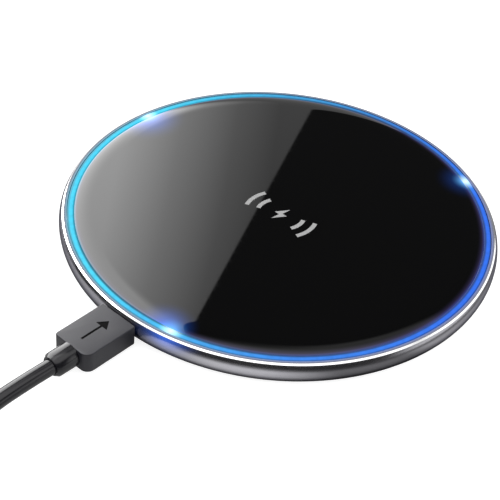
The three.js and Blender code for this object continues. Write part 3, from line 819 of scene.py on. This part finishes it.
def make_far_plug():
    low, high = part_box("usb_a_overmould")
    shell_low, shell_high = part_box("usb_a_shell")
    grip = slab(
        "far_plug_grip", (low.x, high.x), (low.y, high.y), (low.z, high.z),
        (2.6 * MM, 2.6 * MM, 0.6 * MM, 0.6 * MM), 0.7 * MM, "grip",
    )
    where = Matrix.Translation((FAR_X, 0, FAR_HEIGHT)) @ STANDING
    pocket = rounded_box(12.3 * MM, 4.8 * MM, 0.5 * MM)
    carve(grip, prism("far_pocket", pocket, high.y - 3.3 * MM, high.y + MM, where, "grip"))
    outline = arrow_outline(9.5 * MM, 5.0 * MM, 0.9 * MM, 3.6 * MM)
    mark = engrave(grip, "far_plug_mark", outline, (FAR_X, (low.y + high.y) / 2), high.z, 0.15 * MM)
    place(grip, "cable", "cable_jacket", "usb_a_overmould")
    shell = standing_sleeve(
        "far_plug_shell", 12.0 * MM, 4.5 * MM, 0.5 * MM, 0.3 * MM, shell_low.y, shell_high.y,
        (FAR_X, FAR_HEIGHT), "steel",
    )
    for x in (-2.6, 2.6):
        for z in (-2.25, 2.25):
            window = slab(
                "window", (FAR_X + (x - 1.0) * MM, FAR_X + (x + 1.0) * MM),
                (shell_high.y - 7.2 * MM, shell_high.y - 5.0 * MM),
                (FAR_HEIGHT + (z - 0.6) * MM, FAR_HEIGHT + (z + 0.6) * MM),
                [0.2 * MM] * 4, 0.05 * MM, "steel",
            )
            carve(shell, window)
    place(shell, "cable", "connector_steel", "usb_a_shell")
    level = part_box("usb_a_contact_block")[1].z + 0.02 * MM
    ends = (shell_high.y - 10 * MM, shell_high.y - 1.4 * MM)
    contacts = make_contacts("far_plug_contact", 4, 2.3 * MM, 1.1 * MM, ends, FAR_X, level)
    return [grip, mark, shell, contacts]


cord = make_cord()
strap = make_strap()
near_relief, far_relief = make_reliefs()
near_pieces = make_near_plug()
far_pieces = make_far_plug()

# ---------- Pad ----------

FINE = 256
BAND_RADIUS = 49.95
BULGE_LEVEL = 4.7
BULGE_ABOVE = 3.2
BULGE_BELOW = 4.2
CHAMFER_FOOT = 6.71
BAND_FOOT = 0.8
BAND_TOP = 7.0


def make_glass():
    """The panel: flat to its curved edge, which falls away to the light ring."""
    radius, run, drop, steps = 46.5, 4.2, 0.42, 18
    edge = [(radius - 0.02, 6.25), (radius, 6.30)]
    for k in range(steps + 1):
        share = k / steps
        edge.append((radius - run * share, 7.35 - drop * (1 - share) ** 3))
    profile = [(0, 6.25), *edge, (30, 7.35), (15, 7.35), (0, 7.35)]
    made = turned("glass_panel", [(r * MM, z * MM) for r, z in profile], FINE, "glass", sharp=50)
    return place(made, "pad", "top_glass", "glass_top")


def make_light_ring():
    """The guide: a band with a thin flange that closes the gap to the glass."""
    outline = [
        (46.8, 5.6), (48.1, 5.6), (48.1, 6.9), (47.8, 7.0), (47.0, 7.0), (46.57, 6.95),
        (46.57, 6.5), (46.8, 6.4),
    ]
    profile = rounded([(r * MM, z * MM) for r, z in outline], 0.12 * MM, 3)
    made = turned("light_ring", [tuple(p) for p in profile], FINE, "light_ring", sharp=60)
    return place(made, "pad", "light_guide", "light_guide_ring")


def bulge(height):
    """The band's outer radius in mm: two arcs that meet where it is widest."""
    arc = BULGE_ABOVE if height > BULGE_LEVEL else BULGE_BELOW
    return BAND_RADIUS - arc + math.sqrt(arc ** 2 - (height - BULGE_LEVEL) ** 2)


def frame_profile():
    """The band: turned under at its foot, bulging, with a cut chamfer and a thin lip."""
    rise = BULGE_LEVEL - BAND_FOOT
    below = [BAND_FOOT + rise * (1 - math.cos(math.pi / 2 * k / 14)) for k in range(14)]
    above = [BULGE_LEVEL + (CHAMFER_FOOT - BULGE_LEVEL) * k / 12 for k in range(13)]
    side = [(bulge(height), height) for height in below + above]
    rim = [(48.88, BAND_TOP), (48.2, BAND_TOP)]
    inside = [
        (48.2, 5.5), (47.75, 5.5), (47.75, 1.55), (46.1, 1.55), (46.1, 1.05), (46.7, 1.05),
        (46.7, BAND_FOOT),
    ]
    return [(r * MM, z * MM) for r, z in side + rim + inside]


def make_frame():
    """The band with its port. Its flat top is the lip, and the slope under that is the chamfer."""
    looks_used = ("frame", "chamfer", "lip")

    def pick(middle):
        if middle.z > (BAND_TOP - 0.01) * MM:
            return 2
        return 1 if middle.z > CHAMFER_FOOT * MM else 0

    band = turned("metal_band", frame_profile(), FINE, *looks_used, pick=pick, sharp=12)
    where = Matrix.Translation((0, 0, PORT_HEIGHT)) @ STANDING
    hole = rounded_box(8.3 * MM, 3.2 * MM, 1.0 * MM, 8)
    carve(band, prism("port_hole", hole, -52 * MM, -46 * MM, where, "frame"), sharp=12)
    return place(band, "pad", "frame_metal", "side_frame")


def make_cover():
    """The underside: a shallow dished centre, a groove round it, and recesses for the feet."""
    outline = [
        (0, 0.75), (26, 0.75), (27.2, 0.45), (43.9, 0.45), (44.2, 0.6), (44.7, 0.6), (45.0, 0.45),
        (46.2, 0.45), (46.4, 0.6), (46.4, 0.95), (45.8, 0.95), (45.8, 1.45), (0, 1.45),
    ]
    cover = turned("bottom_cover", [(r * MM, z * MM) for r, z in outline], 128, "base", sharp=30)
    recess = ("recess", 5.3 * MM, -MM, 0.9 * MM, 48)
    well = ("well", 1.95 * MM, 0, 2 * MM, 32)
    for index in range(4):
        low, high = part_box(f"rubber_foot_{index + 1}")
        centre = (low + high) / 2
        for name, radius, bottom, top, segments in (recess, well):
            profile = [(0, bottom), (radius, bottom), (radius, top), (0, top)]
            drill = turned(name, profile, segments, "base")
            drill.data.transform(Matrix.Translation((centre.x, centre.y, 0)))
            carve(cover, drill)
    return place(cover, "pad", "base_plastic", "base_cover")


def make_feet():
    """Silicone feet with a raised rim and fine concentric treads."""
    outline = [
        (0, 0.10), (1.2, 0.10), (1.35, 0.0), (2.0, 0.0), (2.15, 0.10), (2.75, 0.10), (2.9, 0.0),
        (4.45, 0.0), (4.9, 0.15), (5.0, 0.4), (5.0, 0.85), (0, 0.85),
    ]
    for index in range(4):
        node = f"rubber_foot_{index + 1}"
        low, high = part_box(node)
        centre = (low + high) / 2
        made = turned(f"silicone_foot_{index + 1}", [(r * MM, z * MM) for r, z in outline], 64, "rubber")
        made.data.transform(Matrix.Translation((centre.x, centre.y, 0)))
        place(made, "pad", "foot_rubber", node)


def arc_band(radius, width, middle, sweep, steps=20):
    """A band of a circle, as a closed outline."""
    made = []
    for edge, order in ((radius + width / 2, 1), (radius - width / 2, -1)):
        for k in range(steps + 1):
            share = k / steps if order == 1 else 1 - k / steps
            angle = math.radians(middle + sweep * (share - 0.5))
            made.append((edge * math.cos(angle), edge * math.sin(angle)))
    return made


def make_mark():
    """A generic charging sign printed on the glass: a bolt between two pairs of arcs."""
    bolt = [(0.5, 2.7), (-1.5, -0.35), (-0.25, -0.35), (-0.5, -2.7), (1.5, 0.35), (0.25, 0.35)]
    outlines = [[(x * MM, y * MM) for x, y in bolt]]
    for side in (0, 180):
        for radius in (5.4, 8.2):
            outlines.append(arc_band(radius * MM, MM, side, 46))
    where = Matrix.Translation((MM, -MM, GLASS_TOP)) @ Matrix.Rotation(math.pi, 4, "Z")
    bm = bmesh.new()
    for outline in outlines:
        part = bmesh.new()
        low = [part.verts.new((x, y, -0.01 * MM)) for x, y in outline]
        high = [part.verts.new((x, y, 0.012 * MM)) for x, y in outline]
        for k in range(len(outline)):
            n = (k + 1) % len(outline)
            part.faces.new((low[k], low[n], high[n], high[k]))
        part.faces.new(list(reversed(low)))
        part.faces.new(high)
        bmesh.ops.transform(part, matrix=where, verts=part.verts)
        piece = bpy.data.meshes.new("part")
        part.to_mesh(piece)
        part.free()
        bm.from_mesh(piece)
        bpy.data.meshes.remove(piece)
    return place(finish_mesh("printed_mark", bm, "ink"), "pad", "white_plastic")


make_glass()
make_light_ring()
make_frame()
make_cover()
make_feet()
make_mark()

# ---------- CAD nodes that stay ----------

node_looks = {
    "glass_adhesive_ring": "adhesive", "light_reflector_ring": "white", "coil_tray": "inner_plastic",
    "ferrite_sheet": "ferrite", "transmit_coil": "wire", "coil_insulating_film": "film",
    "temperature_sensor": "chip", "main_board": "board", "usb_socket_shell": "steel",
    "usb_socket_tongue": "chip", "control_chip": "chip", "bridge_chip_1": "chip",
    "bridge_chip_2": "chip", "input_inductor": "ferrite", "input_capacitor_1": "ceramic",
    "input_capacitor_2": "ceramic", "clock_crystal": "steel", "plug_contact_block": "chip",
    "usb_a_contact_block": "chip",
}
for index in range(1, 5):
    node_looks[f"base_screw_{index}"] = "screw"
    node_looks[f"resonance_capacitor_{index}"] = "ceramic"
for index in range(1, 4):
    node_looks[f"status_led_{index}"] = "led"
for node, look in node_looks.items():
    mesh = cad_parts[node].data
    mesh.materials.clear()
    mesh.materials.append(looks[look])

# ---------- Studio ----------

FLOOR_SIZE = 6.0
FLOOR_TONE = 0.5
FLOOR_GLOW = 0.8
FLOOR_TONE_IN_GLOSS = 0.62
SUN_STRENGTH = 3.4
AMBIENT = 0.45

# The far card's edge is straight: it lies in a plane through the eye. Along a second direction the
# card grows brighter, by each amount between its two places.
CARD_EDGE = (-0.8684, -0.3882, -0.3086)
CARD_GRADIENT = (-1.0, 0.0, 0.4)
CARD_STEPS = (
    (0.736, 0.76, 0.5), (0.76, 0.79, 1.35), (0.79, 0.82, 2.15), (0.82, 0.92, 1.15), (0.92, 1.1, 1.4),
)


def make_floor():
    """White paper that also glows evenly to the camera, so that it barely shows a shadow; reflections
    see painted shade and painted light on it.
    """
    bm = bmesh.new()
    bmesh.ops.create_grid(bm, x_segments=1, y_segments=1, size=FLOOR_SIZE / 2)
    mesh = bpy.data.meshes.new("floor")
    bm.to_mesh(mesh)
    bm.free()
    material, graph, shader = new_material("floor_paper", Roughness=0.95, Specular_IOR_Level=0.0)
    paper = graph.mix(graph.noise(300, 2), (FLOOR_TONE,) * 3, (FLOOR_TONE + 0.01,) * 3)
    in_gloss = graph.node("ShaderNodeLightPath").outputs["Is Glossy Ray"]
    x, y, _ = graph.split(graph.place())
    # Round the pad, by angle, one stretch of the paper has painted shade in gloss and one has painted
    # light.
    round_pad = graph.math("DEGREES", graph.math("ARCTAN2", y, x))
    shade = graph.math("SUBTRACT", graph.spread(round_pad, -45, -31), graph.spread(round_pad, -13, 0))
    light = graph.math("SUBTRACT", graph.spread(round_pad, -78, -64), graph.spread(round_pad, -54, -40))
    painted_gloss_patches = graph.math("MULTIPLY_ADD", shade, -0.62, graph.math("MULTIPLY_ADD", light, 0.5, 1.0))
    # Painted shade in reflections: it dims right by the pad's foot, and on the +X side away from the
    # pad.
    beside = graph.spread(x, 4 * MM, 18 * MM)
    from_axis = axis_distance(graph)
    painted_far_shade = graph.math("MULTIPLY", graph.spread(from_axis, 55 * MM, 85 * MM, 0, 0.75), beside)
    # Painted shade seen in reflections round the pad's foot, in place of its contact shadow.
    under = graph.spread(from_axis, 49.2 * MM, 52.2 * MM, 0.6, 0)
    kept = graph.math("SUBTRACT", 1.0, graph.math("ADD", painted_far_shade, under))
    painted_gloss_patches = graph.math("MULTIPLY", painted_gloss_patches, kept)
    glossy_paper = graph.mix(painted_gloss_patches, (0, 0, 0), (FLOOR_TONE_IN_GLOSS,) * 3)
    glossy_paper.node.clamp_factor = False
    paper = graph.mix(in_gloss, paper, glossy_paper)
    graph.feed(shader.inputs["Base Color"], paper)
    seen = graph.node("ShaderNodeLightPath").outputs["Is Camera Ray"]
    graph.feed(shader.inputs["Emission Color"], graph.mix(seen, (0, 0, 0), (FLOOR_GLOW,) * 3))
    shader.inputs["Emission Strength"].default_value = 1.0
    mesh.materials.append(material)
    floor = bpy.data.objects.new("floor", mesh)
    bpy.context.scene.collection.objects.link(floor)


def make_sun():
    """A wide, high light that leaves soft shadows and shows in no reflection."""
    data = bpy.data.lights.new("ceiling_light", "SUN")
    data.energy = SUN_STRENGTH
    data.angle = math.radians(150)
    sun = bpy.data.objects.new("ceiling_light", data)
    sun.visible_glossy = False
    bpy.context.scene.collection.objects.link(sun)


def studio_reflection(graph):
    """What polished surfaces see: a graded far card, walls, a ceiling and dark gaps between."""
    way = graph.node("ShaderNodeTexCoord").outputs["Generated"]
    x, y, height = graph.split(way)
    to_camera = (math.sin(AZIMUTH), -math.cos(AZIMUTH), 0)
    toward = graph.vector("DOT_PRODUCT", way, to_camera, output=1)
    past_edge = graph.vector("DOT_PRODUCT", way, CARD_EDGE, output=1)
    steep = graph.math("MAXIMUM", graph.math("SUBTRACT", height, 0.7), 0.0)
    past_edge = graph.math("MULTIPLY_ADD", steep, 0.08, past_edge)
    along = graph.vector("DOT_PRODUCT", way, CARD_GRADIENT, output=1)
    # The walls' lower part is dark. On the far side from the camera they start lower.
    away = graph.math("MAXIMUM", graph.math("SUBTRACT", 0.1, toward), 0.0)
    walls = graph.spread(graph.math("MULTIPLY_ADD", away, 0.9, height), 0.56, 0.68)
    # Low down, the card grows dimmer towards +Y.
    outward = graph.math("MAXIMUM", graph.math("SUBTRACT", y, 0.6), 0.0)
    lower = graph.math("MAXIMUM", graph.math("SUBTRACT", 0.5, height), 0.0)
    along = graph.math("MULTIPLY_ADD", graph.math("MULTIPLY", outward, lower), -2.4, along)
    graded = 0.6
    for low, high, amount in CARD_STEPS:
        graded = graph.math("ADD", graded, graph.spread(along, low, high, 0, amount, kind="LINEAR"))
    card = graph.math("MULTIPLY", graded, graph.spread(past_edge, -0.001, 0.001))
    beside = graph.spread(graph.math("MULTIPLY_ADD", height, -0.5, x), -0.02, 0.10)
    side = graph.math("MAXIMUM", beside, graph.spread(toward, -0.05, 0.08))
    side = graph.math("MULTIPLY", side, 1.3)
    walls = graph.math("MULTIPLY", walls, graph.math("MAXIMUM", card, side))
    rightward = graph.vector("DOT_PRODUCT", way, (math.cos(AZIMUTH), math.sin(AZIMUTH), 0), output=1)
    right = graph.math("MULTIPLY", graph.spread(rightward, 0.80, 0.97, 0, 1.3), beside)
    walls = graph.math("MAXIMUM", walls, right)
    ceiling_rim = graph.spread(height, 0.735, 0.79, 0, 0.4)
    ceiling = graph.math("ADD", ceiling_rim, graph.spread(height, 0.82, 0.96, 0, 0.6))
    ceiling = graph.math("MULTIPLY", ceiling, graph.spread(x, -0.42, -0.26))
    ceiling = graph.math("MULTIPLY", ceiling, graph.spread(x, 0.04, 0.16, 1, 0))
    above = graph.math("MULTIPLY", graph.spread(toward, -0.28, -0.05), graph.spread(height, 0.7, 0.8))
    ceiling = graph.math("MULTIPLY_ADD", above, 1.5, ceiling)
    return graph.math("ADD", graph.math("MAXIMUM", walls, ceiling), 0.05)


def make_world():
    """Reflections see the studio. Matt surfaces get even light, and the camera plain paper."""
    world = bpy.data.worlds.new("studio")
    world.use_nodes = True
    bpy.context.scene.world = world
    graph = Graph(world.node_tree)
    background = world.node_tree.nodes["Background"]
    ray = graph.node("ShaderNodeLightPath").outputs
    light = graph.mix(ray["Is Glossy Ray"], (AMBIENT,) * 3, studio_reflection(graph))
    graph.feed(background.inputs["Color"], graph.mix(ray["Is Camera Ray"], light, (1.0, 1.0, 1.0)))
    background.inputs["Strength"].default_value = 1.0


make_floor()
make_sun()
make_world()
bpy.context.scene.view_settings.view_transform = "Standard"
